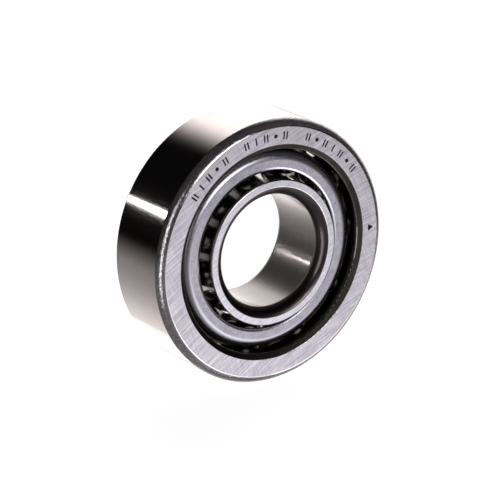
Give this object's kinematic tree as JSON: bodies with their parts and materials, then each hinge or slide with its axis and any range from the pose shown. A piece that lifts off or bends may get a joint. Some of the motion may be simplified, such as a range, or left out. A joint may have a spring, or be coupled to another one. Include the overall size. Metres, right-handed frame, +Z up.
{
  "type": "angular contact ball bearing",
  "caption": "Open single-row angular contact ball bearing: a steel outer ring and inner ring with a row of steel balls in a pressed steel window cage.",
  "frame": {"origin": "centre of the bore, half way along the width", "axes": "+Y along the bearing axis from the marked side to the open side, +Z up, +X to the right as seen from the marked side; the bearing stands on its rim"},
  "size_m": [0.047, 0.014, 0.047],
  "materials": {
    "ring_steel": "ground bearing steel, fine grinding marks",
    "cage_steel": "pressed sheet steel, tumbled satin",
    "ball_steel": "lapped and polished bearing steel"
  },
  "bodies": {
    "outer_ring": {"outer_ring": "ring_steel"},
    "inner_ring": {"inner_ring": "ring_steel"},
    "cage": {"cage": "cage_steel"},
    "ball_01": {"ball_01": "ball_steel"},
    "ball_02": {"ball_02": "ball_steel"},
    "ball_03": {"ball_03": "ball_steel"},
    "ball_04": {"ball_04": "ball_steel"},
    "ball_05": {"ball_05": "ball_steel"},
    "ball_06": {"ball_06": "ball_steel"},
    "ball_07": {"ball_07": "ball_steel"},
    "ball_08": {"ball_08": "ball_steel"},
    "ball_09": {"ball_09": "ball_steel"},
    "ball_10": {"ball_10": "ball_steel"},
    "ball_11": {"ball_11": "ball_steel"}
  },
  "joints": [
    {"name": "inner_spin", "type": "hinge", "parent": "outer_ring", "child": "inner_ring", "pos_m": [0, 0, 0], "axis": [0, 1, 0], "continuous": true},
    {"name": "cage_orbit", "type": "hinge", "parent": "outer_ring", "child": "cage", "pos_m": [0, 0, 0], "axis": [0, 1, 0], "continuous": true},
    {"name": "ball_01_spin", "type": "hinge", "parent": "cage", "child": "ball_01", "pos_m": [0.01675, 0, 0], "axis": [0.6428, 0.766, 0], "continuous": true},
    {"name": "ball_02_spin", "type": "hinge", "parent": "cage", "child": "ball_02", "pos_m": [0.01409, 0, 0.00906], "axis": [0.5407, 0.766, 0.3475], "continuous": true},
    {"name": "ball_03_spin", "type": "hinge", "parent": "cage", "child": "ball_03", "pos_m": [0.00696, 0, 0.01524], "axis": [0.267, 0.766, 0.5847], "continuous": true},
    {"name": "ball_04_spin", "type": "hinge", "parent": "cage", "child": "ball_04", "pos_m": [-0.00238, 0, 0.01658], "axis": [-0.0915, 0.766, 0.6362], "continuous": true},
    {"name": "ball_05_spin", "type": "hinge", "parent": "cage", "child": "ball_05", "pos_m": [-0.01097, 0, 0.01266], "axis": [-0.4209, 0.766, 0.4858], "continuous": true},
    {"name": "ball_06_spin", "type": "hinge", "parent": "cage", "child": "ball_06", "pos_m": [-0.01607, 0, 0.00472], "axis": [-0.6168, 0.766, 0.1811], "continuous": true},
    {"name": "ball_07_spin", "type": "hinge", "parent": "cage", "child": "ball_07", "pos_m": [-0.01607, 0, -0.00472], "axis": [-0.6168, 0.766, -0.1811], "continuous": true},
    {"name": "ball_08_spin", "type": "hinge", "parent": "cage", "child": "ball_08", "pos_m": [-0.01097, 0, -0.01266], "axis": [-0.4209, 0.766, -0.4858], "continuous": true},
    {"name": "ball_09_spin", "type": "hinge", "parent": "cage", "child": "ball_09", "pos_m": [-0.00238, 0, -0.01658], "axis": [-0.0915, 0.766, -0.6362], "continuous": true},
    {"name": "ball_10_spin", "type": "hinge", "parent": "cage", "child": "ball_10", "pos_m": [0.00696, 0, -0.01524], "axis": [0.267, 0.766, -0.5847], "continuous": true},
    {"name": "ball_11_spin", "type": "hinge", "parent": "cage", "child": "ball_11", "pos_m": [0.01409, 0, -0.00906], "axis": [0.5407, 0.766, -0.3475], "continuous": true}
  ],
  "couplings": [
    {"joint": "cage_orbit", "follows": "inner_spin", "ratio": 0.40924},
    {"joint": "ball_01_spin", "follows": "inner_spin", "ratio": -2.0406},
    {"joint": "ball_02_spin", "follows": "inner_spin", "ratio": -2.0406},
    {"joint": "ball_03_spin", "follows": "inner_spin", "ratio": -2.0406},
    {"joint": "ball_04_spin", "follows": "inner_spin", "ratio": -2.0406},
    {"joint": "ball_05_spin", "follows": "inner_spin", "ratio": -2.0406},
    {"joint": "ball_06_spin", "follows": "inner_spin", "ratio": -2.0406},
    {"joint": "ball_07_spin", "follows": "inner_spin", "ratio": -2.0406},
    {"joint": "ball_08_spin", "follows": "inner_spin", "ratio": -2.0406},
    {"joint": "ball_09_spin", "follows": "inner_spin", "ratio": -2.0406},
    {"joint": "ball_10_spin", "follows": "inner_spin", "ratio": -2.0406},
    {"joint": "ball_11_spin", "follows": "inner_spin", "ratio": -2.0406}
  ]
}
